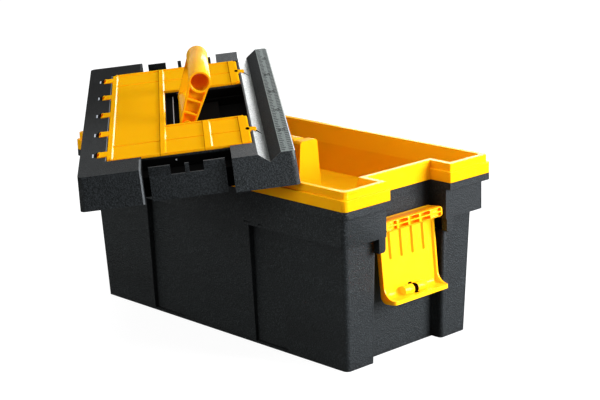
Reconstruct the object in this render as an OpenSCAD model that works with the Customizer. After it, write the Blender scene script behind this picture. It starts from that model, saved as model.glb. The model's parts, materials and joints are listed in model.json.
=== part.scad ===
// Hard tool case with its lid off. A black tub carries a latch at each short
// end and a yellow tote tray, whose rim is the collar of the case. The lid
// lifts off, holds a small-parts organiser and the carry handle, and lies
// askew across the open case. Millimetres: X runs along the case, Y across
// it, Z up, with the origin on the ground at the centre of the base.

/* [Case] */
// Length of the case over its lip
case_l = 482; // [460:1:520]
// Width of the case over its lip
case_w = 242; // [232:2:264]
// Corner radius of the case, seen from above
corner_r = 6; // [4:0.5:8]

/* [Tub] */
// Height of the tub, from the ground to the top of its lip
tub_h = 193; // [188:1:215]
// Height of the lip
lip_h = 8; // [6:0.5:10]
// Height of the wide band under the lip
band_h = 35; // [32:1:40]
// How far the band stands in from the lip on the long sides
band_in = 5.5; // [4.5:0.5:7]
// How far the body stands in from the lip on the long sides, at its top
body_in = 15; // [14:0.5:17]
// How much further the band and the body stand in at the short ends
end_more = 1.5; // [0:0.5:3]
// How much more the body stands in at the ground
body_draft = 6; // [3:0.5:7]
// Thickness of the tub's walls
tub_wall = 2.5; // [2:0.25:3.5]
// Thickness of the tub's floor
tub_floor = 3; // [2:0.5:4]
// Length between the proud ends of each long side
panel_l = 243; // [200:1:260]
// Length of the raised middle of each long side
panel_mid = 132; // [90:2:160]
// How far that middle stays in from the proud ends
mid_sunk = 1; // [0.5:0.25:3]
// Depth of the channels beside it, at their top
panel_deep = 8.3; // [6:0.1:9]
// Depth of the channels at the ground
panel_foot = 4.5; // [2:0.5:6]

/* [End recess] */
// Width of the latch recess through the lip and the band
recess_w = 99; // [99:1:104]
// Width of the latch recess in the body below
recess_low_w = 112; // [108:1:114]
// Depth of the recess at the lip
recess_deep = 33; // [32:0.5:35]
// How much deeper the recess is at the ground
recess_draft = 4; // [2:0.5:5]
// Thickness across the case of the ear that carries the latch
ear_t = 12; // [10:0.5:13]
// Width of the tab that hangs below each ear
tab_w = 10.5; // [8:0.5:11]
// Depth of the tab, along the case
tab_t = 8; // [6:0.5:9]
// Height of the pocket behind the tab
pocket_h = 17; // [10:0.5:18]
// Width of the pocket behind the tab
pocket_w = 6; // [5.5:0.5:10]

/* [Latch] */
// Distance of the latch pivot in from the lip of the case
pivot_in = 17; // [16:0.5:18]
// Distance of the latch pivot below the top of the lip
pivot_down = 34; // [32:0.5:35]
// Radius of the latch pins
latch_pin_r = 3; // [2:0.25:3.5]
// How far each latch pin reaches into the latch
latch_pin_reach = 12; // [6:0.5:20]
// Gap between the latch and each ear
latch_side_gap = 3; // [1:0.25:3.5]
// Half-height of the latch's hinge bar
bar_s = 6.5; // [6:0.5:8]
// Thickness of the hinge bar's inner half
bar_n = 7; // [6:0.5:8]
// Distance from the pivot out to the latch's outer face
latch_out = 12; // [11:0.5:13]
// Thickness of the latch plate
latch_t = 3; // [2:0.25:3.5]
// Thickness of the latch's lip
latch_lip_t = 4.6; // [3:0.2:5.2]
// Depth of the latch's flanges
flange_deep = 6; // [5:0.5:8]
// Radius with which the flanges run out into the lip
flare_r = 14; // [10:1:16]
// Length of the latch from its pivot to its lip
latch_l = 90; // [86:1:92]
// Reach of the latch's lip past its pivot plane
lip_reach = 10; // [9:0.5:13]
// Radius of the rolled bar that snaps on the lid's keeper
roll_r = 5.75; // [4.5:0.25:6]
// Length of that rolled bar
roll_w = 36.6; // [30:0.2:44]
// Angle of the open latch past hanging plumb
latch_hang = 5.4; // [3:0.2:7]
// Spacing of the ribs and cells across the latch
latch_pitch = 18.4; // [16:0.2:19]

/* [Tote tray] */
// Height of the collar's wide lower band
collar_low_h = 13; // [11:0.5:15]
// Height of the collar's upper band, which the lid fits over
collar_up_h = 9; // [7:0.5:10]
// How far the upper band stands in from the lower one
collar_step = 2.4; // [2.2:0.1:3]
// Thickness of the tray's walls
tray_wall = 2.5; // [2:0.25:3]
// Width of the flat top of the rim
rim_w = 6.6; // [6:0.2:8]
// Height of the tray's floor above the shelf of the tub
tray_floor_up = 5.5; // [5:0.5:15]

/* [Tote handle] */
// Length of the tote tray's handle
tote_l = 122; // [116:2:130]
// Length of each of its posts
post_l = 12; // [10:1:16]
// Width of each post at its top
post_w = 28; // [26:1:30]
// Width of each post at the tray floor
post_foot_w = 38; // [34:1:40]
// Height of the handle above the rim
tote_up = 11.5; // [8:0.5:12]
// Width of the beam between the posts
beam_w = 22; // [20:1:24]
// Depth of that beam
beam_h = 17; // [14:0.5:20]
// Wall of the tote handle
tote_wall = 2.5; // [2:0.25:3]

/* [Lid] */
// Height of the lid
lid_h = 38.9; // [38:0.1:40]
// How much the lid narrows from its mouth to its top, on each side
lid_draft = 2.2; // [1:0.1:2.4]
// Thickness of the lid's skin
lid_wall = 2.5; // [2:0.1:2.8]
// Thickness of the lid's mouth, where it fits over the collar
mouth_t = 2; // [1.8:0.1:2.1]
// Length of the trough at each end of the lid
trough_l = 50; // [48:0.5:52]
// Length of the trough's wide floor, from its inner end
trough_floor_l = 25; // [22:0.5:28]
// Height of the trough's floor above the mouth
trough_z = 22.5; // [18:0.5:24]
// Width of the keeper wall
keeper_w = 84; // [80:1:88]
// How far the keeper wall stands in from the lid's end
keeper_in = 9; // [8:0.25:10]
// Thickness of the keeper wall
keeper_t = 3; // [2:0.25:4]
// Width of the keeper's middle tooth
tooth_w = 4.6; // [3:0.2:5]
// Depth of the keeper's notches below its top
keeper_notch = 11; // [9:0.5:12]
// Width of the V-groove that steadies pipes and boards
vee_w = 25; // [21:0.5:26]
// Depth of the V-groove
vee_deep = 9.9; // [8:0.1:10.5]
// Width of the flat ruler strip beside the groove
ruler_w = 15.5; // [14:0.5:17]
// Turn of the lying lid about the upright
lid_turn = 51; // [48:0.5:54]
// Place of the lying lid along the case
lid_x = -88.3; // [-92:0.1:-85]
// Place of the lying lid across the case
lid_y = -64.5; // [-67:0.1:-62]

/* [Organiser] */
// Height of the compartments' floor above the lid's mouth
pan_z = 6; // [5:0.5:12]
// Thickness of the organiser's walls and floor
pan_wall = 2; // [1.5:0.1:2.5]
// Distance of the organiser from the lid's left side
pan_left = 33; // [31:0.5:35]
// Half-width of the middle rows of compartments
row_half = 135; // [125:1:145]
// Thickness of the organiser's cover
cover_t = 1.4; // [1.2:0.1:1.6]
// Height of the cover's raised strips
strip_h = 1.3; // [0.8:0.1:1.4]
// Gap round the organiser's cover
cover_gap = 0.8; // [0.6:0.1:1.2]
// Spacing of the cover's five hinge tabs
tab_pitch = 82; // [76:1:84]
// Length of each hinge tab along the hinge
hinge_tab_l = 19; // [14:1:22]
// Radius of the hinge bar under each tab
hinge_r = 1.5; // [1.2:0.1:1.7]
// Distance of the hinge bar from the cover's edge
hinge_reach = 8.8; // [8.4:0.1:9.4]
// Distance of each snap tongue from the middle of the lid
tongue_v = 134; // [126:1:144]

/* [Handle well] */
// Half-length of the well under the carry handle
well_half = 76; // [75:0.5:80]
// Left edge of the well
well_left = -20; // [-21:0.5:-18]
// Height of the well's main floor above the lid's mouth
well_z = 23; // [22.8:0.1:23.4]
// Height of the trough under the folded grip
grip_well_z = 13.5; // [12.5:0.5:14]
// Height of the channels under the folded arms
arm_well_z = 15.5; // [14:0.5:16]

/* [Carry handle] */
// Place of the handle's pivot across the lid
handle_u = 3.9; // [3:0.1:4.5]
// Height of the handle's pivot above the lid's mouth
handle_w = 32.3; // [32.2:0.1:32.6]
// Distance from the pivot to the middle of the grip
arm_l = 54.4; // [53.5:0.1:55]
// Outer radius of the grip
grip_r = 13; // [11:0.25:13]
// Wall of the hollow grip
grip_wall = 2.2; // [1.8:0.1:3.5]
// Length of the grip
grip_l = 132; // [128:1:133]
// Thickness of each arm
arm_t = 7.5; // [6:0.25:8]
// Radius of each arm's foot
foot_r = 9; // [7:0.25:9]
// Lean of the handle from the lid's normal as it stands
handle_lean = 23; // [10:1:35]
// Radius of the handle's pins
handle_pin_r = 3; // [2:0.25:3.5]

/* [Hidden] */

black = "#26292b";
yellow = "#f5b21a";
steel = "#a9adb0";

eps = 0.01;          // overlap of solids that are joined
far = 2 * case_l;    // reach of a cut that runs out of the part
run_gap = 0.05;      // radial clearance of a running fit
press_gap = 0.02;    // radial clearance of a pressed pin
rest_gap = 0.3;      // clearance of pieces that lie on each other
$fn = 64;

// Case
half_l = case_l / 2;
half_w = case_w / 2;
lip_z = tub_h - lip_h;
band_z = lip_z - band_h;
shelf_z = band_z + tub_wall;

// End recess and latch pivot
recess_half = recess_w / 2;
low_half = recess_low_w / 2;
ear_out = recess_half + ear_t;
pivot_x = half_l - pivot_in;
pivot_z = tub_h - pivot_down;
tab_x = half_l - band_in - end_more - tab_t;
tab_y = ear_out - tab_w;
pocket_x = half_l - recess_deep;
pocket_z = band_z - pocket_h;
pocket_y = low_half + pocket_w;

// Latch
latch_half = recess_half - latch_side_gap;
roll_s = latch_l - latch_lip_t - roll_r + 1.5;
roll_n = roll_r + latch_t - latch_out - 1;
plan_half = latch_half - 1;
bend_r = 8.5;
rib_end = 42;
rib_deep = 2.6;
flange_t = 2.4;
cell_deep = 8;
pin_cell_deep = 3.2;
cell_rows = 2;
cell_cols = 5;
cell_gap = 1.6;
cell_wall = 3.4;
roll_slot = 5.8;
lip_corner_r = 4.75;

// Tray
step_z = tub_h + collar_low_h;
rim_z = step_z + collar_up_h;
tray_floor_z = shelf_z + tray_floor_up;
collar_end_top = recess_deep + 0.5;
collar_end_foot = recess_deep - 3;
basket_in_rim = collar_step + rim_w;
basket_in_lip = basket_in_rim + 6;
basket_in_floor = basket_in_lip + 3;
bay_rim = recess_half + 9.5;
bay_lip = bay_rim + 6;
bay_floor = bay_lip + 2;
basket_end_rim = recess_deep + 7;
basket_end_floor = basket_end_rim + 6;

// Tote handle
tote_top = rim_z + tote_up;
post_x = tote_l / 2;
post_round = 5;
saddle = 5;

// Lid
trough_v = half_l - trough_l;
vee_r = half_w - lid_draft - ruler_w;
vee_l = vee_r - vee_w;
vee_mid = (vee_l + vee_r) / 2;
vee_z = lid_h - vee_deep;
vee_skin = 3.4;
plate_w = lid_h - lid_wall;
pan_u0 = pan_left - half_w;
pan_u1 = vee_l - 2.1;
pan_v = trough_v;
pan_under = pan_z - pan_wall;
strip_a = -23;
strip_b = 26.5;
well_trough_u = 44;
well_step_u = handle_u + 1;
ledge_w = 8;
ledge_u = 9;
arm_out = grip_l / 2;
arm_in = arm_out - arm_t;
cheek_in = arm_out + 0.5;
pin_in = arm_in - 6;

// Organiser cover
cover_u0 = pan_u0;
cover_u1 = pan_u1 - cover_gap - 0.6;
cover_v = pan_v - cover_gap;
cover_z = plate_w + rest_gap;
hinge_u = cover_u0 - hinge_reach;
hinge_w = cover_z + 0.2;
clip_r = hinge_r + 1.3;
slot_u0 = hinge_u - 3.7;
slot_half = hinge_tab_l / 2 + 1.5;
slot_z = hinge_w - clip_r - 1.2;

// Lying lid: its mouth rests on the near rim and on the tote handle
rest_y = half_w - collar_step;
lid_tilt = atan((tote_top - rim_z) / (rest_y - post_w / 2));
lid_z = rim_z + rest_gap + (lid_y + rest_y) * tan(lid_tilt);

// ---------------------------------------------------------------- helpers

module rounded(l, w, r) {
    square([l - 2 * r, w], center = true);
    square([l, w - 2 * r], center = true);
    for (x = [-1, 1], y = [-1, 1])
        translate([x * (l / 2 - r), y * (w / 2 - r)]) circle(r);
}

// Plate of the case's outline, set in from the lip
module slab(inset, z0, z1, r = corner_r, l = case_l) {
    translate([0, 0, z0]) linear_extrude(z1 - z0)
        rounded(l - 2 * inset, case_w - 2 * inset, r);
}

// Block that is set in by in0 at its foot and by in1 at its top
module drafted(in0, in1, z0, z1, l = case_l, w = case_w, r = corner_r) {
    hull() {
        translate([0, 0, z0]) linear_extrude(eps)
            rounded(l - 2 * in0, w - 2 * in0, r, $fn = 32);
        translate([0, 0, z1 - eps]) linear_extrude(eps)
            rounded(l - 2 * in1, w - 2 * in1, r, $fn = 32);
    }
}

// XZ outline drawn out along Y, centred
module prism_y(points, half) {
    rotate([90, 0, 0]) linear_extrude(2 * half, center = true) polygon(points);
}

// YZ outline drawn out along X, centred
module prism_x(points, half) {
    rotate([90, 0, 90]) linear_extrude(2 * half, center = true) polygon(points);
}

module box(x0, x1, y0, y1, z0, z1) {
    translate([x0, y0, z0]) cube([x1 - x0, y1 - y0, z1 - z0]);
}

module both_ends() {
    children();
    mirror([1, 0, 0]) children();
}

module both_sides() {
    children();
    mirror([0, 1, 0]) children();
}

module rod_y(x, z, r, y0, y1) {
    translate([x, y0, z]) rotate([-90, 0, 0]) cylinder(r = r, h = y1 - y0);
}

// -------------------------------------------------------------------- tub

// Space outside the recess wall at one end, grown inwards by t
module recess_space(half, z0, z1, t = 0) {
    x0 = half_l - recess_deep - recess_draft * (1 - z0 / tub_h) - t;
    x1 = half_l - recess_deep - recess_draft * (1 - z1 / tub_h) - t;
    prism_y([[x0, z0], [far, z0], [far, z1], [x1, z1]], half);
}

// Space outside one part of a long side, from the floor up: sunk by foot_deep
// at the ground and by top_deep under the band, grown inwards by t
module side_space(x0, x1, foot_deep, top_deep, t) {
    y0 = half_w - body_in - body_draft - foot_deep - t;
    rise = (body_draft + foot_deep - top_deep) / band_z;
    translate([(x0 + x1) / 2, 0, 0])
        prism_x([[y0 + rise * tub_floor, tub_floor], [far, tub_floor],
                 [far, band_z + 5], [y0 + rise * (band_z + 5), band_z + 5]], (x1 - x0) / 2);
}

// Lower body: proud ends, then a channel on each side of the raised middle
module tub_body(t, z0, z1) {
    half = panel_l / 2 + t;
    mid = panel_mid / 2 - t;
    difference() {
        drafted(body_in + body_draft + t, body_in + t, z0, z1, l = case_l - 2 * end_more);
        both_sides() {
            both_ends() side_space(mid, half, panel_foot, panel_deep, t);
            side_space(-mid - eps, mid + eps, mid_sunk, mid_sunk, t);
        }
    }
}

module tub_cavity() {
    difference() {
        union() {
            tub_body(tub_wall, tub_floor, shelf_z);
            slab(band_in + tub_wall, shelf_z - eps, tub_h + 1, l = case_l - 2 * end_more);
        }
        both_ends() {
            recess_space(low_half + tub_wall, 0, band_z + eps, tub_wall);
            recess_space(ear_out, band_z, tub_h + 2, tub_wall);
        }
        both_ends() both_sides()
            box(pocket_x - tub_wall, far, low_half - 1,
                pocket_y + tub_wall, pocket_z - tub_wall, band_z + eps);
    }
}

// Round on the upright edge between the recess and the end of the case
module column_round() {
    r = 4;
    translate([half_l - body_in - end_more, low_half, band_z])
        rotate([0, atan(body_draft / band_z), 0])
            difference() {
                box(-r, 2, -1, r, -band_z - 5, pocket_z - band_z);
                translate([-r, r, -band_z - 6]) cylinder(r = r, h = band_z + 10);
            }
}

// Two short slots low in the band
module band_slots() {
    for (x = [[71, 82], [95, 101]])
        box(x[0], x[1], half_w - band_in - 1, far, band_z + 2.6, band_z + 4.3);
}

module ear_tab() {
    r = 4;
    translate([tab_x, tab_y, pocket_z]) rotate([90, 0, 90])
        linear_extrude(tab_t) {
            translate([r, 0]) square([tab_w - r, pocket_h + eps]);
            translate([0, r]) square([tab_w, pocket_h - r + eps]);
            translate([r, r]) circle(r);
        }
}

module tub() {
    color(black) {
        difference() {
            union() {
                tub_body(0, 0, band_z + eps);
                slab(band_in, band_z, lip_z + eps, l = case_l - 2 * end_more);
                slab(0, lip_z, tub_h);
            }
            tub_cavity();
            both_ends() {
                translate([0, 0, -eps]) recess_space(low_half, 0, band_z + 2 * eps);
                recess_space(recess_half, band_z - eps, tub_h + 1);
                rod_y(pivot_x, pivot_z, latch_pin_r + press_gap,
                      -ear_out - eps, ear_out + eps);
            }
            both_ends() both_sides()
                box(pocket_x, far, low_half - eps, pocket_y, pocket_z, band_z);
            both_ends() both_sides() column_round();
            both_sides() band_slots();
        }
        both_ends() both_sides() ear_tab();
    }
}

// ------------------------------------------------------------------ latch

// The latch in its own frame: +X to its outer face, Z along the plate from
// the pivot, Y across. Outlines are drawn with X and Z.
module latch_side() {
    edge = latch_out - flange_deep;
    tip = latch_l - latch_lip_t;
    difference() {
        union() {
            translate([edge, 0]) square([flange_deep, latch_l]);
            translate([-lip_reach, tip]) square([latch_out + lip_reach, latch_lip_t]);
            difference() {
                translate([edge - flare_r, tip - flare_r]) square(flare_r + eps);
                translate([edge - flare_r, tip - flare_r]) circle(flare_r);
            }
        }
        difference() {
            translate([latch_out - bend_r, latch_l - bend_r]) square(bend_r + 1);
            translate([latch_out - bend_r, latch_l - bend_r]) circle(bend_r);
        }
    }
}

// Section through the plate and the lip
module latch_sheet() {
    r = bend_r - latch_t;
    in_x = latch_out - latch_t;
    tip = latch_l - latch_lip_t;
    difference() {
        latch_side();
        translate([-lip_reach - 1, -1]) square([in_x + lip_reach + 1 - r, tip + 1]);
        translate([-lip_reach - 1, -1]) square([in_x + lip_reach + 1, tip + 1 - r]);
        translate([in_x - r, tip - r]) circle(r);
    }
}

module latch_rib() {
    in_x = latch_out - latch_t;
    translate([in_x - rib_deep, 0]) square([rib_deep + eps, rib_end - rib_deep]);
    intersection() {
        translate([in_x, rib_end - rib_deep]) circle(rib_deep);
        translate([in_x - rib_deep, 0]) square([rib_deep + eps, rib_end]);
    }
}

// Outline of the latch seen along its plate, with the lip's rounded corners
module latch_plan() {
    r = lip_corner_r;
    translate([0, 0, -1]) linear_extrude(latch_l + 2) {
        translate([-lip_reach + r, -plan_half])
            square([latch_out + lip_reach - r + 1, 2 * plan_half]);
        translate([-lip_reach, -plan_half + r])
            square([latch_out + lip_reach, 2 * (plan_half - r)]);
        for (y = [-1, 1]) translate([-lip_reach + r, y * (plan_half - r)]) circle(r);
    }
}

// Draws an X and Z outline out along Y, centred
module drawn(t) {
    rotate([90, 0, 0]) linear_extrude(t, center = true) children();
}

module bar_side() {
    r = 3;
    translate([-bar_n + r, -bar_s]) square([bar_n + latch_out - r, 2 * bar_s]);
    translate([-bar_n, -bar_s + r]) square([bar_n, 2 * (bar_s - r)]);
    for (y = [-1, 1]) translate([-bar_n + r, y * (bar_s - r)]) circle(r);
}

module latch_bar() {
    row = bar_s - 1;
    difference() {
        intersection() {
            drawn(2 * latch_half) bar_side();
            translate([-bar_n - 1, 0, 0]) rotate([90, 0, 90])
                linear_extrude(bar_n + latch_out + 2) rounded(2 * latch_half, 2 * bar_s, 4.5);
        }
        for (c = [0 : cell_cols - 1], r = [0 : cell_rows - 1])
            translate([-bar_n, (c - (cell_cols - 1) / 2) * latch_pitch,
                       (r - (cell_rows - 1) / 2) * row])
                box(-1, c == 0 || c == cell_cols - 1 ? pin_cell_deep : cell_deep,
                    -latch_pitch / 2 + cell_wall / 2, latch_pitch / 2 - cell_wall / 2,
                    -row / 2 + cell_gap / 2, row / 2 - cell_gap / 2);
        both_sides()
            rod_y(0, 0, latch_pin_r + run_gap, latch_half - latch_pin_reach,
                  latch_half + eps);
    }
}

module latch_body() {
    difference() {
        union() {
            latch_bar();
            intersection() {
                union() {
                    drawn(2 * plan_half - 0.4) latch_sheet();
                    both_sides() translate([0, plan_half - flange_t / 2, 0])
                        drawn(flange_t) latch_side();
                    for (k = [0 : 3]) translate([0, (k - 1.5) * latch_pitch, 0])
                        drawn(1.8) latch_rib();
                }
                latch_plan();
            }
            rod_y(-roll_n, roll_s, roll_r, -roll_w / 2, roll_w / 2);
        }
        box(-roll_n - roll_r - 1, latch_out + 1, -roll_slot / 2, roll_slot / 2,
            roll_s - roll_r - 1, latch_l + 1);
    }
}

// Latch as it stands: open, hanging just past plumb
module hung_latch() {
    translate([pivot_x, 0, pivot_z]) rotate([0, 180 - latch_hang, 0]) latch_body();
}

module latch_right() {
    color(yellow) hung_latch();
}

module latch_left() {
    color(yellow) mirror([1, 0, 0]) hung_latch();
}

module latch_pins() {
    color(steel) both_sides()
        rod_y(pivot_x, pivot_z, latch_pin_r, latch_half - latch_pin_reach + rest_gap,
              ear_out - rest_gap);
}

module latch_pins_right() {
    latch_pins();
}

module latch_pins_left() {
    mirror([1, 0, 0]) latch_pins();
}

// -------------------------------------------------------------- tote tray

// The collar's end, stood in to clear the latch, set in by t more
module collar_end_space(t, half) {
    prism_y([[half_l - collar_end_foot - t, tub_h - 2],
             [far, tub_h - 2], [far, rim_z + 2],
             [half_l - collar_end_top - t, rim_z + 2]], half);
}

module collar() {
    hollow_z = step_z - tray_wall;
    difference() {
        union() {
            slab(0, tub_h, step_z);
            slab(collar_step, step_z - eps, rim_z);
        }
        slab(tray_wall, tub_h - 1, hollow_z);
        difference() {
            slab(collar_step + tray_wall, hollow_z - eps, rim_z - tray_wall);
            both_ends() collar_end_space(tray_wall, recess_half + collar_step + tray_wall);
        }
        both_ends() {
            intersection() {
                collar_end_space(0, recess_half);
                box(-far, far, -far, far, tub_h - 2, step_z);
            }
            intersection() {
                collar_end_space(0, recess_half + collar_step);
                box(-far, far, -far, far, step_z, rim_z + 2);
            }
        }
    }
    both_ends() collar_end_wall();
}

// The wall that closes the collar round the stepped-in end
module collar_end_wall() {
    difference() {
        intersection() {
            slab(0, tub_h, step_z);
            collar_end_space(tray_wall, recess_half + tray_wall);
        }
        collar_end_space(0, recess_half);
    }
}

// Inside or outside of the basket: t is 0 for the inside, the wall for the outside
module basket_block(t, foot_z) {
    difference() {
        union() {
            drafted(basket_in_lip - t, basket_in_rim - t, tub_h, rim_z + (t > 0 ? 0 : 1));
            drafted(basket_in_floor - t, basket_in_lip - t, foot_z, tub_h + eps);
        }
        both_ends() intersection() {
            prism_y([[half_l - basket_end_floor + t, foot_z - 1], [far, foot_z - 1],
                     [far, rim_z + 2], [half_l - basket_end_rim + t, rim_z + 2]], half_w);
            prism_x([[-bay_floor + t, foot_z - 1], [bay_floor - t, foot_z - 1],
                     [bay_lip - t, tub_h], [bay_rim - t, rim_z + 2],
                     [-bay_rim + t, rim_z + 2], [-bay_lip + t, tub_h]], far);
        }
    }
}

module tote_tray() {
    color(yellow) difference() {
        union() {
            collar();
            basket_block(tray_wall, tray_floor_z - tray_wall);
        }
        basket_block(0, tray_floor_z);
    }
}

// ------------------------------------------------------------ tote handle

module post_outline(t) {
    top = tote_top - t;
    half = post_w / 2 - t;
    foot = post_foot_w / 2 - t;
    r = post_round - t / 2;
    polygon([[-foot, tray_floor_z], [foot, tray_floor_z],
             [half, top - r], [-half, top - r]]);
    translate([0, top - r / 2]) square([2 * (half - r), r], center = true);
    for (y = [-1, 1]) translate([y * (half - r), top - r]) circle(r);
}

module post() {
    difference() {
        translate([post_x - post_l, 0, 0]) rotate([90, 0, 90])
            linear_extrude(post_l) post_outline(0);
        translate([post_x - post_l - eps, 0, -eps]) rotate([90, 0, 90])
            linear_extrude(post_l - tote_wall) post_outline(tote_wall);
    }
}

// Channel-shaped beam: thumb-round on top, open below, with cross ribs
module beam() {
    len = tote_l - 2 * post_l;
    half = beam_w / 2;
    z0 = tote_top - beam_h;
    r = 7;
    difference() {
        rotate([90, 0, 90]) linear_extrude(len, center = true) beam_outline(half, z0, r);
        rotate([90, 0, 90]) linear_extrude(len + 1, center = true)
            translate([0, -tote_wall]) beam_outline(half - tote_wall, z0, r - tote_wall);
    }
    for (x = [-30 : 15 : 30])
        box(x - 1, x + 1, -half + 1, half - 1, z0 + 3, tote_top - tote_wall);
}

module beam_outline(half, z0, r) {
    translate([-half, z0]) square([2 * half, beam_h - r]);
    translate([-half + r, z0]) square([2 * (half - r), beam_h]);
    for (y = [-1, 1]) translate([y * (half - r), tote_top - r]) circle(r);
}

module tote_handle() {
    color(yellow) difference() {
        union() {
            both_ends() post();
            beam();
            both_ends() box(post_x - post_l - eps, post_x - post_l + tote_wall,
                            -post_w / 2 + 1, post_w / 2 - 1,
                            tote_top - beam_h, tote_top - saddle);
        }
        // Saddles between the beam and the posts
        both_ends() rod_y(post_x - post_l - 3, tote_top + 3, 5, -half_w, half_w);
    }
}

// -------------------------------------------------------------------- lid

// The lid's own frame, X across it (u), Y along it (v), Z from its mouth (w),
// put where it lies
module place_lid() {
    translate([lid_x, lid_y, lid_z]) rotate([lid_tilt, 0, 0])
        rotate([0, 0, lid_turn]) children();
}

module lid_block(t, z0, z1) {
    hull() {
        translate([0, 0, z0]) linear_extrude(eps)
            rounded(case_w - 2 * t, case_l - 2 * t, corner_r, $fn = 32);
        translate([0, 0, z1 - eps]) linear_extrude(eps)
            rounded(case_w - 2 * (t + lid_draft), case_l - 2 * (t + lid_draft),
                    corner_r, $fn = 32);
    }
}

// Outline of the organiser seen from above: a U round the handle well
module organiser_outline(u0, u1, v1, well_u, well_v) {
    difference() {
        translate([u0, -v1]) square([u1 - u0, 2 * v1]);
        translate([well_u, -well_v]) square([u1 - well_u + 1, 2 * well_v]);
    }
}

module vee(depth_more, v1) {
    rotate([90, 0, 0]) linear_extrude(2 * v1, center = true)
        polygon([[vee_l - depth_more, lid_h], [vee_l - depth_more, lid_h + 2],
                 [vee_r + depth_more, lid_h + 2], [vee_r + depth_more, lid_h],
                 [vee_mid, vee_z - depth_more]]);
}

module hinge_slots(grow, z0) {
    for (k = [-2 : 2])
        box(slot_u0 - grow, cover_u0 + 2, k * tab_pitch - slot_half - grow,
            k * tab_pitch + slot_half + grow, z0, lid_h + 2);
}

// What stays solid inside the lid's skin
module lid_inside() {
    // organiser, with the floor of the handle well
    translate([0, 0, pan_under]) linear_extrude(lid_h)
        organiser_outline(pan_u0 - pan_wall, pan_u1 + pan_wall, pan_v + pan_wall,
                          well_left, well_half);
    box(well_left - 1, well_left + ledge_u + pan_wall, -well_half - 1, well_half + 1,
        well_z - pan_wall, lid_h);
    box(well_left, pan_u1 + pan_wall, -well_half - 1, well_half + 1,
        well_z - pan_wall, lid_h);
    box(well_trough_u - pan_wall, pan_u1 + pan_wall, -well_half - 1, well_half + 1,
        grip_well_z - pan_wall, lid_h);
    both_sides() box(well_step_u - pan_wall, well_trough_u, arm_in - 1.5 - pan_wall,
                     well_half + 1, arm_well_z - pan_wall, well_z);
    vee(vee_skin, half_l);
    hinge_slots(pan_wall, slot_z - pan_wall);
}

module lid_skin() {
    difference() {
        lid_block(0, 0, lid_h);
        difference() {
            lid_block(lid_wall, 0, plate_w);
            lid_inside();
            both_sides() box(-recess_half - lid_wall, recess_half + lid_wall,
                             trough_v - lid_wall, half_l, -1, lid_h);
        }
        // mouth that slips over the collar
        difference() {
            translate([0, 0, -1]) linear_extrude(collar_up_h + 1.3)
                rounded(case_w - 2 * mouth_t, case_l - 2 * mouth_t, corner_r - 1);
            both_sides() box(-recess_half - mouth_t, recess_half + mouth_t,
                             trough_v - lid_wall, half_l, -2, lid_h);
            lid_inside();
        }
    }
}

module compartments() {
    cols = [[pan_u0, strip_a - pan_wall / 2], [strip_a + pan_wall / 2, strip_b - pan_wall / 2],
            [strip_b + pan_wall / 2, pan_u1 - pan_wall]];
    side = well_half + pan_wall;
    end = pan_v - lid_wall;
    for (c = cols) both_sides() box(c[0], c[1], row_half + pan_wall / 2, end, pan_z, lid_h);
    box(cols[0][0], cols[0][1], -row_half + pan_wall / 2, row_half - pan_wall / 2,
        pan_z, lid_h);
    for (c = [cols[1], cols[2]]) both_sides()
        box(c[0], c[1], side, row_half - pan_wall / 2, pan_z, lid_h);
}

module well_cut() {
    top = lid_h + 1;
    box(well_left, well_left + ledge_u, -well_half, well_half, well_z + ledge_w, top);
    box(well_left + ledge_u - eps, pan_u1, -well_half, well_half, well_z, top);
    box(well_trough_u, pan_u1, -arm_out - 4, arm_out + 4, grip_well_z, top);
    both_sides() box(well_step_u, well_trough_u + eps, arm_in - 1.5, arm_out + 2,
                     arm_well_z, top);
}

// Cheek that carries a handle pin at one end of the well
module cheek() {
    box(handle_u - 10, handle_u + 10, cheek_in, well_half + 1, arm_well_z - eps, plate_w);
}

module keeper() {
    v1 = half_l - keeper_in;
    step_v = trough_v + trough_floor_l;
    half = keeper_w / 2;
    top = lid_h - 0.9;
    difference() {
        box(-half, half, v1 - keeper_t, v1, -1, top);
        for (s = [-1, 1])
            box(min(s * tooth_w / 2, s * roll_w / 2), max(s * tooth_w / 2, s * roll_w / 2),
                v1 - keeper_t - 1, v1 + 1, top - keeper_notch, lid_h);
    }
    // wide floor and its end wall, then the neck that carries the keeper
    box(-recess_half - eps, recess_half + eps, trough_v - eps, step_v,
        trough_z - lid_wall, trough_z);
    box(-recess_half - eps, recess_half + eps, step_v - 2, step_v, 0, trough_z - eps);
    box(-half, half, step_v - eps, v1 - eps, trough_z - lid_wall, trough_z);
    for (s = [-1, 1])
        box(min(s * half, s * (half - 2)), max(s * half, s * (half - 2)),
            step_v - eps, v1 - eps, 0, trough_z - eps);
}

module lid_shell() {
    color(black) place_lid() {
        difference() {
            lid_skin();
            both_sides() box(-recess_half, recess_half, trough_v, far, -1, lid_h + 1);
            vee(0, far);
            // opening that the organiser's cover lies in
            translate([0, 0, plate_w]) linear_extrude(lid_h)
                organiser_outline(cover_u0 - cover_gap, pan_u1, pan_v,
                                  well_left, well_half);
            compartments();
            well_cut();
            hinge_slots(0, slot_z);
            both_sides() tongue_slot();
        }
        both_sides() difference() {
            cheek();
            rod_y(handle_u, handle_w, handle_pin_r + press_gap, 0, well_half - 0.8);
        }
        for (k = [-2 : 2])
            rod_y(hinge_u, hinge_w, hinge_r, k * tab_pitch - slot_half - eps,
                  k * tab_pitch + slot_half + eps);
        both_sides() keeper();
    }
}

// -------------------------------------------------------- organiser cover

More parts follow.
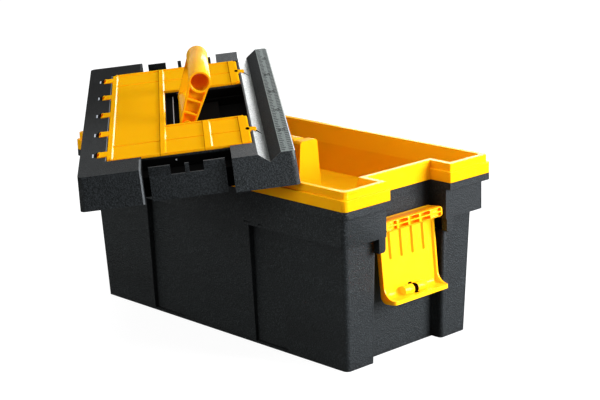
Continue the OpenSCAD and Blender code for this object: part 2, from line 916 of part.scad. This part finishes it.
// Room for a snap tongue, with a slit down the groove's slope below its tip
module tongue_slot() {
    fall = vee_deep / (vee_w / 2);
    box(pan_u1 - 1, vee_l + 4, tongue_v - 8, tongue_v + 8, plate_w, lid_h + 1);
    translate([0, tongue_v, 0]) drawn(2)
        polygon([[vee_l + 1, lid_h - fall - 1.8], [vee_l + 9, lid_h - 9 * fall - 1.8],
                 [vee_l + 9, lid_h + 1], [vee_l + 1, lid_h + 1]]);
}

module tongue() {
    translate([0, tongue_v, cover_z]) linear_extrude(cover_t + strip_h)
        polygon([[cover_u1 - 1, -7], [cover_u1 + 2, -5.5], [cover_u1 + 6.5, -4],
                 [cover_u1 + 8, 0], [cover_u1 + 6.5, 4], [cover_u1 + 2, 5.5],
                 [cover_u1 - 1, 7]]);
}

// Round hole beside each snap tongue
module tongue_hole() {
    translate([cover_u1 - 2.5, tongue_v, 0]) cylinder(r = 2, h = lid_h + 5);
}

// Raised strip along the cover: square on its left, sloped on its right
module strip(u0, u1, v0, v1) {
    translate([0, (v0 + v1) / 2, cover_z + cover_t - eps]) rotate([90, 0, 0])
        linear_extrude(v1 - v0, center = true)
            polygon([[u0, 0], [u0 + 0.3, strip_h + eps], [u1 - 1.6, strip_h + eps], [u1, 0]]);
}

module cover_plate() {
    r = 4;
    side = well_half + pan_wall / 2;
    translate([0, 0, cover_z]) linear_extrude(cover_t) difference() {
        translate([(cover_u0 + cover_u1) / 2, 0]) rounded(cover_u1 - cover_u0, 2 * cover_v, r);
        translate([well_left - pan_wall / 2, -side]) square([half_w, 2 * side]);
    }
}

module cover_relief() {
    side = well_half + pan_wall / 2;
    well_u = well_left - pan_wall / 2;
    // long strips over the organiser's walls
    strip(cover_u0, cover_u0 + 7, -cover_v + 4, cover_v - 4);
    strip(strip_a - 5, well_u, -cover_v + 0.5, cover_v - 0.5);
    both_sides() {
        strip(strip_b - 4.5, strip_b + 4.5, side, cover_v - 0.5);
        strip(cover_u1 - 11, cover_u1, side + 4, cover_v - 4);
    }
    // thin cross ribs
    top = cover_z + cover_t;
    both_sides() {
        box(cover_u0 + 4, cover_u1 - 4, row_half - 1, row_half + 1, top - eps, top + strip_h * 0.7);
        box(cover_u0 + 4, cover_u1 - 4, cover_v - 4, cover_v - 0.5, top - eps, top + strip_h);
        box(well_u - 1, cover_u1 - 4, side, side + 3.5, top - eps, top + strip_h);
    }
}

module hinge_tab() {
    difference() {
        union() {
            box(hinge_u, cover_u0 + 3, -hinge_tab_l / 2, hinge_tab_l / 2,
                cover_z, cover_z + cover_t + strip_h);
            rod_y(hinge_u, hinge_w, clip_r, -hinge_tab_l / 2, hinge_tab_l / 2);
        }
        rod_y(hinge_u, hinge_w, hinge_r + run_gap, -hinge_tab_l, hinge_tab_l);
        // open below, so that the tab snaps onto its bar
        box(hinge_u - 1.1, hinge_u + 1.1, -hinge_tab_l, hinge_tab_l,
            hinge_w - clip_r - 1, hinge_w);
    }
}

module organiser_cover() {
    color(yellow) place_lid() {
        difference() {
            union() {
                cover_plate();
                cover_relief();
            }
            both_sides() tongue_hole();
        }
        both_sides() tongue();
        for (k = [-2 : 2]) translate([0, k * tab_pitch, 0]) hinge_tab();
    }
}

// ----------------------------------------------------------- carry handle

// Outline of an arm: foot at the pivot, widening to the grip
module arm_outline(t) {
    foot = foot_r - t;
    top = grip_r - 1 - t;
    polygon([[-foot, 0], [foot, 0], [top, arm_l], [-top, arm_l]]);
    if (t == 0) circle(foot_r);
}

module arm() {
    pocket = arm_t - 2.5;
    difference() {
        translate([0, arm_out, 0]) rotate([90, 0, 0]) linear_extrude(arm_t) arm_outline(0);
        difference() {
            translate([0, arm_out + eps, 0]) rotate([90, 0, 0]) linear_extrude(pocket)
                arm_outline(2.2);
            rod_y(0, 0, handle_pin_r + 2.5, 0, 2 * arm_out);
            rod_y(0, arm_l, grip_r, 0, 2 * arm_out);
            for (t = [15, 31])
                box(-grip_r, grip_r, 0, 2 * arm_out, t - 1.1, t + 1.1);
        }
        rod_y(0, 0, handle_pin_r + run_gap, 0, 2 * arm_out);
    }
}

// Two arms, the grip between their tops and the bar between their feet
module carry_handle() {
    color(yellow) place_lid() translate([handle_u, 0, handle_w]) rotate([0, handle_lean, 0])
        difference() {
            union() {
                both_sides() arm();
                rod_y(0, arm_l, grip_r, -arm_out, arm_out);
                rod_y(0, 0, foot_r - 0.5, -arm_in - eps, arm_in + eps);
            }
            rod_y(0, arm_l, grip_r - grip_wall, -arm_out - 1, arm_out + 1);
            both_sides() rod_y(0, 0, handle_pin_r + run_gap, pin_in - rest_gap, 2 * arm_out);
        }
}

module handle_pin() {
    color(steel) rod_y(handle_u, handle_w, handle_pin_r, pin_in, well_half - 1.1);
}

module handle_pin_near() {
    place_lid() mirror([0, 1, 0]) handle_pin();
}

module handle_pin_far() {
    place_lid() handle_pin();
}

tub();
latch_right();
latch_left();
latch_pins_right();
latch_pins_left();
tote_tray();
tote_handle();
lid_shell();
organiser_cover();
carry_handle();
handle_pin_near();
handle_pin_far();
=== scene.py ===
"""Hard tool case, dressed: a grained black tub with its lid laid askew on it, a
yellow tote tray, organiser cover, carry handle and end latches.

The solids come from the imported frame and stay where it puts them. This script
rounds their edges, gives each its finish, and adds the ruler's marks.
"""
import json
import math

import bmesh
import bpy
from mathutils import Matrix, Vector


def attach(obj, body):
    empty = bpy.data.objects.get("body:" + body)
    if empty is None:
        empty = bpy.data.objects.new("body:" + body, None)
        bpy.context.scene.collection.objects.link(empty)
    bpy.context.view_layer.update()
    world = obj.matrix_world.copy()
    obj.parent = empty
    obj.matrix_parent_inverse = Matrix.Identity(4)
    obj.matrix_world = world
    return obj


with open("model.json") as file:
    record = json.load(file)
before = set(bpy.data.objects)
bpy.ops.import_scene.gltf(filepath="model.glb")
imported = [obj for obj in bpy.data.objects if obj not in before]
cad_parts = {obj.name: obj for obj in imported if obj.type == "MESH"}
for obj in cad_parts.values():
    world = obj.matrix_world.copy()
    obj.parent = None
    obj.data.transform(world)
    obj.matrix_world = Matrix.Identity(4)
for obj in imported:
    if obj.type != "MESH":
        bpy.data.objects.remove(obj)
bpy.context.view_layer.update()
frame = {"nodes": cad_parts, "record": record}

MM = 0.001


# ---------------------------------------------------------------- shader maths

class Socket:
    """A shader output. Arithmetic on it adds Math nodes to its material."""

    def __init__(self, finish, output):
        self.finish = finish
        self.output = output

    def _math(self, operation, *values):
        return self.finish.add("ShaderNodeMath", {"operation": operation}, dict(enumerate(values)))

    def __add__(self, other):
        return self._math("ADD", self, other)

    def __radd__(self, other):
        return self._math("ADD", other, self)

    def __sub__(self, other):
        return self._math("SUBTRACT", self, other)

    def __rsub__(self, other):
        return self._math("SUBTRACT", other, self)

    def __mul__(self, other):
        return self._math("MULTIPLY", self, other)

    def __rmul__(self, other):
        return self._math("MULTIPLY", other, self)

    def size(self):
        return self._math("ABSOLUTE", self)

    def from_multiple(self, pitch):
        """Distance to the nearest whole multiple of the pitch."""
        return self._math("PINGPONG", self, pitch / 2)

    def above(self, level, width=0.4):
        """0 below level, 1 above level + width, smooth between."""
        return self.finish.add(
            "ShaderNodeMapRange", {"interpolation_type": "SMOOTHSTEP"},
            {"Value": self, "From Min": level, "From Max": level + width})

    def below(self, level, width=0.4):
        """1 below level, 0 above level + width, smooth between."""
        return 1 - self.above(level, width)

    def within(self, low, high):
        """1 from low to high, 0 outside."""
        return self.above(low) * self.below(high)


class Finish:
    """The nodes of a material or a world. Each comes from the add method."""

    def __init__(self, name, kind="materials"):
        self.owner = getattr(bpy.data, kind).new(name)
        self.owner.use_nodes = True
        self.tree = self.owner.node_tree
        self.tree.nodes.clear()

    def add(self, kind, settings=None, values=None, output=0):
        """Adds a node with its settings, and the values or links of its sockets."""
        node = self.tree.nodes.new(kind)
        for key, setting in (settings or {}).items():
            setattr(node, key, setting)
        for key, value in (values or {}).items():
            if isinstance(value, Socket):
                self.tree.links.new(value.output, node.inputs[key])
            else:
                node.inputs[key].default_value = value
        return Socket(self, node.outputs[output]) if node.outputs else None

    def place(self):
        return self.add("ShaderNodeTexCoord", output="Object")

    def axes(self, base=Matrix()):
        """Distances in mm from the origin of base, along its three axes."""
        origin = base.to_translation()
        axes = [base.col[k].to_3d() / MM for k in range(3)]
        return [self.add("ShaderNodeVectorMath", {"operation": "DOT_PRODUCT"},
                         {0: self.place(), 1: tuple(axis)}, "Value") - origin.dot(axis)
                for axis in axes]

    def openness(self, reach):
        """1 on open faces, towards 0 deep inside a pocket, looking reach mm round."""
        return self.add("ShaderNodeAmbientOcclusion", {"samples": 8},
                        {"Distance": reach * MM}, "AO")

    def noise(self, scale, detail, roughness):
        return self.add("ShaderNodeTexNoise", None, {
            "Vector": self.place(), "Scale": scale, "Detail": detail, "Roughness": roughness})

    def mix(self, factor, first, second):
        return self.add("ShaderNodeMix", {"data_type": "RGBA"},
                        {0: factor, 6: first, 7: second}, output=2)

    def marked(self, colour, marks):
        """The colour with the colour of each mark laid over it where its mask is 1."""
        for mask, mark in marks:
            colour = self.mix(mask, colour, mark)
        return colour

    def bump(self, height, depth, strength):
        """Normals of a relief that is depth mm deep."""
        return self.add("ShaderNodeBump", None, {
            "Height": height, "Distance": depth * MM, "Strength": strength})

    def shader(self, **values):
        named = {key.replace("_", " ").title().replace("Ior", "IOR"): value
                 for key, value in values.items()}
        return self.add("ShaderNodeBsdfPrincipled", None, named)

    def done(self, shader):
        self.add("ShaderNodeOutputMaterial", None, {"Surface": shader})
        return self.owner


# --------------------------------------------------------- the lid's own frame

# The lid lies turned about the upright. Its mouth rests on the collar's near rim, at
# REST_Y towards -y, and on the tote handle, which rises above the collar, so the lid
# is tilted. Sizes are in mm.
COLLAR_TOP = 215
REST_GAP = 0.3
REST_Y = 118.6
TOTE_RISE = 11.5
TOTE_HALF_WIDTH = 14
LID_X, LID_Y = -88.3, -64.5
LID_TURN = math.radians(51)
LID_TILT = math.atan(TOTE_RISE / (REST_Y - TOTE_HALF_WIDTH))
LID_Z = COLLAR_TOP + REST_GAP + (LID_Y + REST_Y) * math.tan(LID_TILT)

# In the lid's own frame, x runs across it to the right, y along it and z up, from the
# middle of its mouth.
LID = (Matrix.Translation(Vector((LID_X, LID_Y, LID_Z)) * MM)
       @ Matrix.Rotation(LID_TILT, 4, "X") @ Matrix.Rotation(LID_TURN, 4, "Z"))

LID_TOP = 38.9
# Along the lid: from one hinge tab of the cover to the next, and out to its tongues
TAB_PITCH = 82
TONGUE_V = 134
# Across the lid: the V-groove's left edge and bottom, and the ruler strip beside it
GROOVE_LEFT = 78
GROOVE_BOTTOM = 90.6
RULER_STRIP = (103.2, 118.2)


def near_tabs(along, reach):
    """1 within reach of the middle of a hinge tab, 0 elsewhere."""
    return along.from_multiple(TAB_PITCH).below(reach, 1)


# -------------------------------------------------------------- black finishes

PITCH = (0.0012, 0.0012, 0.0012, 1)
BLACK = (0.0044, 0.0060, 0.0063, 1)
SPECK_GREY = (0.069, 0.083, 0.086, 1)
# On the lid
COARSE_GREY = (0.040, 0.046, 0.050, 1)
STRIP_GREY = (0.088, 0.116, 0.107, 1)
# Painted reflection on the groove's left slope
SLOPE_REFLECTION_GREY = (0.42, 0.46, 0.43, 1)
# Painted highlights on edges
TROUGH_HIGHLIGHT = (0.30, 0.32, 0.33, 1)
LIP_HIGHLIGHT = (0.72, 0.78, 0.86, 1)
STRIP_HIGHLIGHT = (0.80, 0.84, 0.82, 1)
LEDGE_HIGHLIGHT = (0.92, 0.95, 0.98, 1)

BLACK_SHEEN = 0.22
GRAIN_DEPTH = 0.75
SMOOTH_GRAIN = 0.6


def fine_grain(finish):
    return finish.noise(880.0, 3.0, 0.65)


def leather_grain(finish, fine):
    """Tone, roughness and height of the coarse leather grain of a moulded case."""
    pits = finish.add("ShaderNodeTexVoronoi", {"feature": "F1"},
                      {"Vector": finish.place(), "Scale": 520.0})
    worn = finish.noise(24.0, 4.0, 0.6)
    tone = finish.mix(fine.above(0.50, 0.22) * 0.62, BLACK, SPECK_GREY)
    return tone, 0.46 + worn * 0.14, pits * 0.5 + fine * 0.9


def black_plastic(finish, tone, roughness, grain):
    """Black polypropylene, with pitch dark shade painted into its corners."""
    return finish.shader(
        base_color=finish.mix(finish.openness(30).above(0.1, 0.7), PITCH, tone),
        roughness=roughness, specular_ior_level=BLACK_SHEEN,
        normal=finish.bump(grain, GRAIN_DEPTH, 0.8))


def tub_black():
    """Grained black, with shade painted darker towards the foot of the long sides, and into its
    corners.
    """
    finish = Finish("grained_black")
    tone, roughness, grain = leather_grain(finish, fine_grain(finish))
    length, width, height = finish.axes()
    long_sides = width.size().above(100, 2) * length.size().below(225, 2)
    # Painted shade: darker towards the floor along the long sides
    tone = finish.mix(height.below(0, 75) * long_sides * 0.75, tone, PITCH)
    return finish.done(black_plastic(finish, tone, roughness, grain))


def lid_black():
    """Grained black with a polished groove and ruler strip, with pitch dark shade painted in its
    hollows, a reflection painted on the groove's slope and highlights painted on edges.
    """
    finish = Finish("lid_black")
    fine = fine_grain(finish)
    tone, roughness, grain = leather_grain(finish, fine)
    across, along, up = finish.axes(LID)
    coarse = finish.noise(560.0, 2.0, 0.6).above(0.40, 0.26)
    # Both the painted reflection on the slope and the shade painted at the left grow towards the
    # far end
    far = along.above(-200, 350)

    top = up.above(28, 0.3) * along.within(-238.3, 238.3)
    smooth = top * across.above(GROOVE_LEFT)
    left_slope = smooth * across.below(GROOVE_BOTTOM, 0.5)
    strip = top * across.within(*RULER_STRIP)
    right_slope = smooth - left_slope - strip
    # Painted highlight along the ruler strip's right edge
    strip_edge_highlight = top * across.within(117.6, 121) * up.above(37.9, 0.3)
    # Painted highlights on the edges left of the hinge tabs and along the cover
    lip_highlights = (across.within(-105, -103.2) * near_tabs(along, 6)
            + across.within(-90, -88.6) * along.within(-190, 190) * 0.5)
    # Painted highlight on the rounded step in the handle well
    ledge_highlight = across.within(-12.4, -10.6) * up.within(29.6, 31.4)
    # Painted highlight on the left edges of the end troughs
    trough_edge_highlight = across.within(-52.2, -50.2) * (1 - along.within(-200, 200))
    tone = finish.marked(tone, [
        (coarse * 0.6, COARSE_GREY),
        (strip * (0.7 + fine * 0.25), STRIP_GREY),
        # Painted reflection, patchy with the coarse grain
        (left_slope * (0.1 + coarse * 0.45) * (0.72 + far * 0.28), SLOPE_REFLECTION_GREY),
        (top * lip_highlights, LIP_HIGHLIGHT),
        (strip_edge_highlight, STRIP_HIGHLIGHT),
        (ledge_highlight, LEDGE_HIGHLIGHT),
        (trough_edge_highlight, TROUGH_HIGHLIGHT)])

    # Painted shade, pitch dark: in the hollows, beside the hinge tabs, at the tongues, on the
    # groove's right slope and towards the left
    hollows = across.within(-112, 78) * along.within(-225, 225) * up.below(32, 4)
    tab_slot_shade = top * across.within(-103, -100) * near_tabs(along, 6)
    # A wedge of painted shade at each tongue, wider towards the cover
    wedge = (90 - across) * 0.6 - (along.size() - TONGUE_V).size()
    tongue_slit_shade = across.within(78.6, 88.4) * wedge.above(0)
    left = (1 - smooth) * across.below(-60, 150)
    painted_shade = (hollows * (1 - ledge_highlight) + right_slope * 0.6 + tab_slot_shade + tongue_slit_shade
            + left * (0.42 + top * (1 - lip_highlights) * (0.17 + far * 0.27)))
    shown = black_plastic(finish, tone, roughness - smooth * 0.22 + right_slope * 0.34,
                          grain * (1 - smooth * SMOOTH_GRAIN))
    # The pitch dark shader that the painted shade mixes in
    deep = finish.shader(base_color=PITCH, roughness=0.8, specular_ior_level=0.01)
    return finish.done(finish.add("ShaderNodeMixShader", None, {0: painted_shade, 1: shown, 2: deep}))


# ------------------------------------------------------------- yellow finishes

YELLOW = (0.92, 0.40, 0.003)
YELLOW_LIGHT = (0.95, 0.44, 0.005)
# Amber shade painted in pockets, standing in for light bouncing inside them
SHADE_AMBER = (0.86, 0.22, 0.001, 1)
PALE_SHADE_AMBER = (0.93, 0.36, 0.002, 1)
# Painted shade and shadow: on the latch bars' tops, at the feet of the cover's strips, in its
# tabs' windows
BAR_SHADE_AMBER = (0.66, 0.22, 0.002, 1)
FOOT_SHADOW_BROWN = (0.34, 0.13, 0.002, 1)
WINDOW_SHADE_BROWN = (0.48, 0.06, 0.002, 1)
# Painted glow, standing in for light that a deep pocket, or thin plastic, lets through
NO_LIGHT = (0, 0, 0, 1)
POCKET_GLOW = (0.46, 0.06, 0, 1)
LATCH_GLOW = (0.30, 0.06, 0, 1)
GRIP_GLOW = (0.60, 0.09, 0.001, 1)
SHEER_GLOW = (0.12, 0.19, 0.006, 1)

POCKET_REACH = 24
COAT = 0.28


def yellow_plastic(name, reach, sheen, depth=1.0, pocket=SHADE_AMBER, glow=POCKET_GLOW,
                   sheer=None, marks=(), polish=None):
    """Glossy yellow polypropylene, amber shade painted in pockets up to reach deep, a painted glow
    in deep ones.

    Light soaks a little way into it, and a glow is painted where sheer gives 1. Each of
    marks is a mask and its colour, and where polish gives 1 it shines.
    """
    finish = Finish(name)
    flow = finish.noise(18.0, 3.0, 0.55)
    satin = finish.noise(700.0, 2.0, 0.5)
    # depth below 1 darkens a part's whole yellow, shade painted over parts the lamps light
    # brightly
    base, light = ([channel * depth for channel in tone] + [1]
                   for tone in (YELLOW, YELLOW_LIGHT))
    face = finish.mix(flow, base, light)
    # Painted shade: amber in pockets
    colour = finish.mix(finish.openness(reach).above(0.15, 0.5), pocket, face)
    # Painted glow where sheer gives 1
    sheer_glow = finish.mix(sheer(finish), NO_LIGHT, SHEER_GLOW) if sheer else NO_LIGHT
    return finish.done(finish.shader(
        base_color=finish.marked(colour, [(mask(finish), mark) for mask, mark in marks]),
        roughness=0.16 + flow * 0.06, specular_ior_level=sheen,
        coat_weight=polish(finish) * COAT if polish else 0.0, coat_roughness=0.14,
        subsurface_weight=0.3, subsurface_radius=(1.0, 0.35, 0.02), subsurface_scale=4 * MM,
        normal=finish.bump(satin, 0.03, 0.5),
        # Painted glow in deep pockets, elsewhere the sheer glow
        emission_color=finish.mix(finish.openness(POCKET_REACH).above(0.0, 0.3), glow, sheer_glow),
        emission_strength=1.0))


def catch_slot(finish):
    """1 in the slot of a latch's rolled bar, where shade is painted pitch dark, 0 elsewhere."""
    length, width, height = finish.axes()
    return width.within(-3.4, 2.95) * height.below(82.5) * length.within(-235.4, 235)


def latch_plate(finish):
    """1 between the flanges of a latch, below its hinge bar, where a glow is painted, 0 elsewhere.
    """
    _, width, height = finish.axes()
    return width.size().below(43.5) * height.below(150, 2) * (1 - catch_slot(finish))


def bar_top_shade(finish):
    """1 on top of the latches' hinge bars, where shade is painted, 0 elsewhere."""
    height = finish.axes()[2]
    return height.above(164.8, 0.3)


def strip_slopes(finish):
    """1 on the sloped right edges of the cover's raised strips, 0 elsewhere."""
    across = finish.axes(LID)[0]
    return across.within(-82.9, -81) + across.within(-22.9, -21) + across.within(29.1, 31)


def strip_foot_shadows(finish):
    """1 along the left feet of the cover's raised strips, where shadows are painted, 0 elsewhere.
    """
    across = finish.axes(LID)[0]
    return across.within(-28.9, -27.9) + across.within(21.2, 21.9) + across.within(62.8, 63.7)


def pin_window_shade(finish):
    """1 on the cover's hinge tabs over the bars they turn on, where shade is painted, 0 elsewhere.
    """
    across, along, _ = finish.axes(LID)
    return across.within(-100, -96.8) * near_tabs(along, 5)


def tongue_hole_shade(finish):
    """1 in and just round the long holes by the cover's tongues, where shade is painted pitch
    dark, 0 elsewhere.
    """
    across, along, _ = finish.axes(LID)
    u = across - 72.5
    v = (along.size() - TONGUE_V) * 0.4
    return (u * u + v * v).below(2.1 ** 2, 1.2 ** 2)


def open_faces(finish):
    """1 on outer faces, 0 inside the grip's bore and the arms' pockets."""
    return finish.openness(POCKET_REACH).above(0.3, 0.3)


# ---------------------------------------------------------------- steel finish

def steel():
    """Bright zinc with fine scratches."""
    finish = Finish("zinc_plated_steel")
    scratches = finish.noise(400.0, 4.0, 0.7)
    return finish.done(finish.shader(
        base_color=(0.55, 0.56, 0.58, 1), metallic=1.0, roughness=0.28 + scratches * 0.2,
        normal=finish.bump(scratches, 0.03, 0.4)))


# ---------------------------------------------------------- the frame's solids

SLOT_FINISH = {"black_plastic": tub_black(),
               "yellow_plastic": yellow_plastic("yellow_plastic", 14, 0.015),
               "steel": steel()}
# The latch: pale amber shade painted in pockets, a painted glow on its plate and in deep cells,
# painted shade on its bar tops and in its catch slot
LATCH_FINISH = yellow_plastic(
    "latch_yellow", 5, 0.12, pocket=PALE_SHADE_AMBER, glow=LATCH_GLOW, sheer=latch_plate,
    marks=[(bar_top_shade, BAR_SHADE_AMBER), (catch_slot, PITCH)])
# The cover: yellow darkened as painted shade, painted shadows at the strips' feet, painted shade
# in the tabs' windows and the tongue holes
COVER_FINISH = yellow_plastic(
    "cover_yellow", 5, 0.0, depth=0.74, polish=strip_slopes,
    marks=[(strip_foot_shadows, FOOT_SHADOW_BROWN), (pin_window_shade, WINDOW_SHADE_BROWN), (tongue_hole_shade, PITCH)])
# The handles: yellow darkened as painted shade, and a brighter painted glow in the grip's bore
HANDLE_FINISH = yellow_plastic(
    "handle_yellow", 14, 0.0, depth=0.8, glow=GRIP_GLOW, polish=open_faces)
NODE_FINISH = {"lid_shell": lid_black(), "organiser_cover": COVER_FINISH,
               "tote_handle": HANDLE_FINISH, "carry_handle": HANDLE_FINISH,
               "latch_right": LATCH_FINISH, "latch_left": LATCH_FINISH}

# Widths of the rounded edges in mm
EDGE_ROUND = {"tub": 1.4, "tote_tray": 0.8, "lid_shell": 0.8,
              "organiser_cover": 0.3, "latch_right": 0.5, "latch_left": 0.5}
OTHER_EDGE_ROUND = 0.4


def round_edges(solid, width):
    """Joins the loose triangles, merges flat ones into faces and rounds the edges."""
    weld = solid.modifiers.new("weld", "WELD")
    weld.merge_threshold = 0.002 * MM
    flat = solid.modifiers.new("flat", "DECIMATE")
    flat.decimate_type = "DISSOLVE"
    flat.angle_limit = math.radians(0.5)
    bevel = solid.modifiers.new("round", "BEVEL")
    bevel.width = width * MM
    bevel.segments = 2
    bevel.limit_method = "ANGLE"
    bevel.angle_limit = math.radians(35)
    bevel.harden_normals = True


def dress_solids():
    """Gives each solid its own finish, or its slot's, and small rounded edges."""
    slots = {row["node"]: row["material_slot"] for row in frame["record"]["subparts"]}
    for name, solid in frame["nodes"].items():
        solid.data.materials.clear()
        solid.data.materials.append(NODE_FINISH.get(name) or SLOT_FINISH[slots[name]])
        round_edges(solid, EDGE_ROUND.get(name, OTHER_EDGE_ROUND))


dress_solids()


# ----------------------------------------------------------------- ruler marks

TICK_PITCH = 7
TICK_LENGTH = 2.2
TICK_HEIGHT = 0.15
NUMERAL_PITCH = 84
NUMERAL_HEIGHT = 0.3
NUMERAL_SCALE = (1.7, 1.9)
SUNK = 0.1
STROKES = {"0": "abcdef", "1": "be", "2": "abgfd", "3": "abged", "4": "cbge", "5": "acged"}
# Strokes of a numeral that is 2 wide and 4 high: foot-left corner, then size
STROKE_BOXES = {"a": (0, 3.6, 2, 0.4), "b": (1.6, 2, 0.4, 2), "c": (0, 2, 0.4, 2),
                "d": (0, 0, 2, 0.4), "e": (1.6, 0, 0.4, 2), "f": (0, 0, 0.4, 2),
                "g": (0, 1.8, 2, 0.4)}


def add_bar(mesh, u, v, width, length, height):
    """Bar on the ruler strip, sunk a little into it, its near-left corner at u, v."""
    middle = Vector((u + width / 2, v + length / 2, LID_TOP + (height - SUNK) / 2)) * MM
    stretch = Matrix.Diagonal((width * MM, length * MM, (height + SUNK) * MM, 1))
    bmesh.ops.create_cube(mesh, size=1.0, matrix=LID @ Matrix.Translation(middle) @ stretch)


def add_digit(mesh, digit, foot, v):
    wide, high = NUMERAL_SCALE
    for stroke in STROKES[digit]:
        u0, v0, width, length = STROKE_BOXES[stroke]
        add_bar(mesh, foot + u0 * wide, v + v0 * high, width * wide, length * high,
                NUMERAL_HEIGHT)


def make_ruler():
    """Raised ticks along both edges of the strip and numerals between them."""
    mesh = bmesh.new()
    for step in range(-33, 34):
        # Each fourth tick on the left is longer
        v = step * TICK_PITCH - 1.3
        add_bar(mesh, 104.4, v, 4.0 if step % 4 else 5.4, TICK_LENGTH, TICK_HEIGHT)
        add_bar(mesh, 112.6, v, 4.6, TICK_LENGTH, TICK_HEIGHT)
    for index, ten in enumerate("12345"):
        v = 178 - index * NUMERAL_PITCH
        add_digit(mesh, ten, 106.5, v)
        add_digit(mesh, "0", 110.6, v)
    data = bpy.data.meshes.new("ruler_marks")
    mesh.to_mesh(data)
    mesh.free()
    finish = Finish("ruler_black")
    fine = finish.noise(900.0, 3.0, 0.6)
    data.materials.append(finish.done(finish.shader(
        base_color=finish.mix(fine, (0.006, 0.007, 0.007, 1), (0.014, 0.015, 0.016, 1)),
        roughness=0.5 + fine * 0.1, specular_ior_level=0.3, normal=finish.bump(fine, 0.1, 0.5))))
    marks = bpy.data.objects.new("ruler_marks", data)
    bpy.context.scene.collection.objects.link(marks)
    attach(marks, "lid")


make_ruler()


# --------------------------------------------------------- camera and lighting

CAMERA_PLACE = Vector((1.4838, -1.3507, 0.6694))
CAMERA_YAW = math.radians(46.05)
CAMERA_PITCH = math.radians(15.15)
CAMERA_ROLL = math.radians(-1.50)
SENSOR_WIDTH = 36.0
# In pixels: the picture, its focal length, and where the lens axis meets it
PICTURE_WIDTH, PICTURE_HEIGHT = 600, 400
FOCAL_PIXELS = 1692.2
PRINCIPAL_X, PRINCIPAL_Y = 323.3, 211.5
FLOOR_REACH = 12.0
WORLD_LIGHT = 0.30


def make_camera():
    """Camera that looks down on the clear end and the near side."""
    ahead = Vector((-math.sin(CAMERA_YAW) * math.cos(CAMERA_PITCH),
                    math.cos(CAMERA_YAW) * math.cos(CAMERA_PITCH),
                    -math.sin(CAMERA_PITCH)))
    right = Vector((math.cos(CAMERA_YAW), math.sin(CAMERA_YAW), 0))
    up = right.cross(ahead)
    rolled_right = right * math.cos(CAMERA_ROLL) + up * math.sin(CAMERA_ROLL)
    rolled_up = up * math.cos(CAMERA_ROLL) - right * math.sin(CAMERA_ROLL)
    turn = Matrix((rolled_right, rolled_up, -ahead)).transposed()
    camera = bpy.data.objects.new("camera", bpy.data.cameras.new("camera"))
    camera.matrix_world = Matrix.Translation(CAMERA_PLACE) @ turn.to_4x4()
    camera.data.sensor_width = SENSOR_WIDTH
    camera.data.lens = FOCAL_PIXELS * SENSOR_WIDTH / PICTURE_WIDTH
    camera.data.shift_x = (PICTURE_WIDTH / 2 - PRINCIPAL_X) / PICTURE_WIDTH
    camera.data.shift_y = (PRINCIPAL_Y - PICTURE_HEIGHT / 2) / PICTURE_WIDTH
    bpy.context.scene.collection.objects.link(camera)
    bpy.context.scene.camera = camera


def area_light(name, place, target, size, power, colour=(1, 1, 1)):
    """Rectangular lamp at place, in metres, that faces the target."""
    light = bpy.data.lights.new(name, "AREA")
    light.shape = "RECTANGLE"
    light.size, light.size_y = size
    light.energy = power
    light.color = colour
    lamp = bpy.data.objects.new(name, light)
    place = Vector(place)
    lamp.matrix_world = Matrix.Translation(place) @ (
        (Vector(target) - place).to_track_quat("-Z", "Y").to_matrix().to_4x4())
    bpy.context.scene.collection.objects.link(lamp)


def make_floor():
    """Pale floor: white as the camera sees it, with the case's faint shadow."""
    finish = Finish("pale_floor")
    grain = finish.noise(60.0, 2.0, 0.5)
    paper = {"roughness": 0.9, "specular_ior_level": 0.1}
    plain = finish.shader(
        base_color=finish.mix(grain, (0.18, 0.18, 0.18, 1), (0.20, 0.20, 0.20, 1)), **paper)
    glowing = finish.shader(base_color=(0.17, 0.17, 0.17, 1), emission_color=(1, 1, 1, 1),
                            emission_strength=0.93, **paper)
    seen = finish.add("ShaderNodeLightPath", output="Is Camera Ray")
    both = finish.add("ShaderNodeMixShader", None, {0: seen, 1: plain, 2: glowing})
    mesh = bpy.data.meshes.new("floor")
    ground = bmesh.new()
    bmesh.ops.create_grid(ground, x_segments=1, y_segments=1, size=FLOOR_REACH)
    ground.to_mesh(mesh)
    ground.free()
    mesh.materials.append(finish.done(both))
    floor = bpy.data.objects.new("floor", mesh)
    bpy.context.scene.collection.objects.link(floor)


def make_world():
    """White studio, dimmer as a light than as a backdrop."""
    sky = Finish("studio", "worlds")
    dim, white = (
        sky.add("ShaderNodeBackground", None, {"Color": (1, 1, 1, 1), "Strength": strength})
        for strength in (WORLD_LIGHT, 1.0))
    seen = sum((sky.add("ShaderNodeLightPath", output=f"Is {ray} Ray")
                for ray in ("Camera", "Glossy", "Transmission")), 0)
    mixed = sky.add("ShaderNodeMixShader", None, {0: seen, 1: dim, 2: white})
    sky.add("ShaderNodeOutputWorld", None, {"Surface": mixed})
    bpy.context.scene.world = sky.owner


make_camera()
make_floor()
make_world()
area_light("key", (2.2, 1.3, 0.9), (0, 0, 0.15), (1.6, 1.2), 176, (0.97, 0.99, 1.06))
area_light("top", (0.1, -0.1, 2.5), (0, 0, 0.15), (1.4, 1.4), 30)
area_light("fill", (-0.6, -2.6, 1.0), (0, 0, 0.15), (1.6, 1.2), 25)
area_light("back", (-1.4, 2.15, 0.45), (0, 0, 0.25), (1.0, 1.1), 27)
bpy.context.scene.view_settings.view_transform = "Standard"
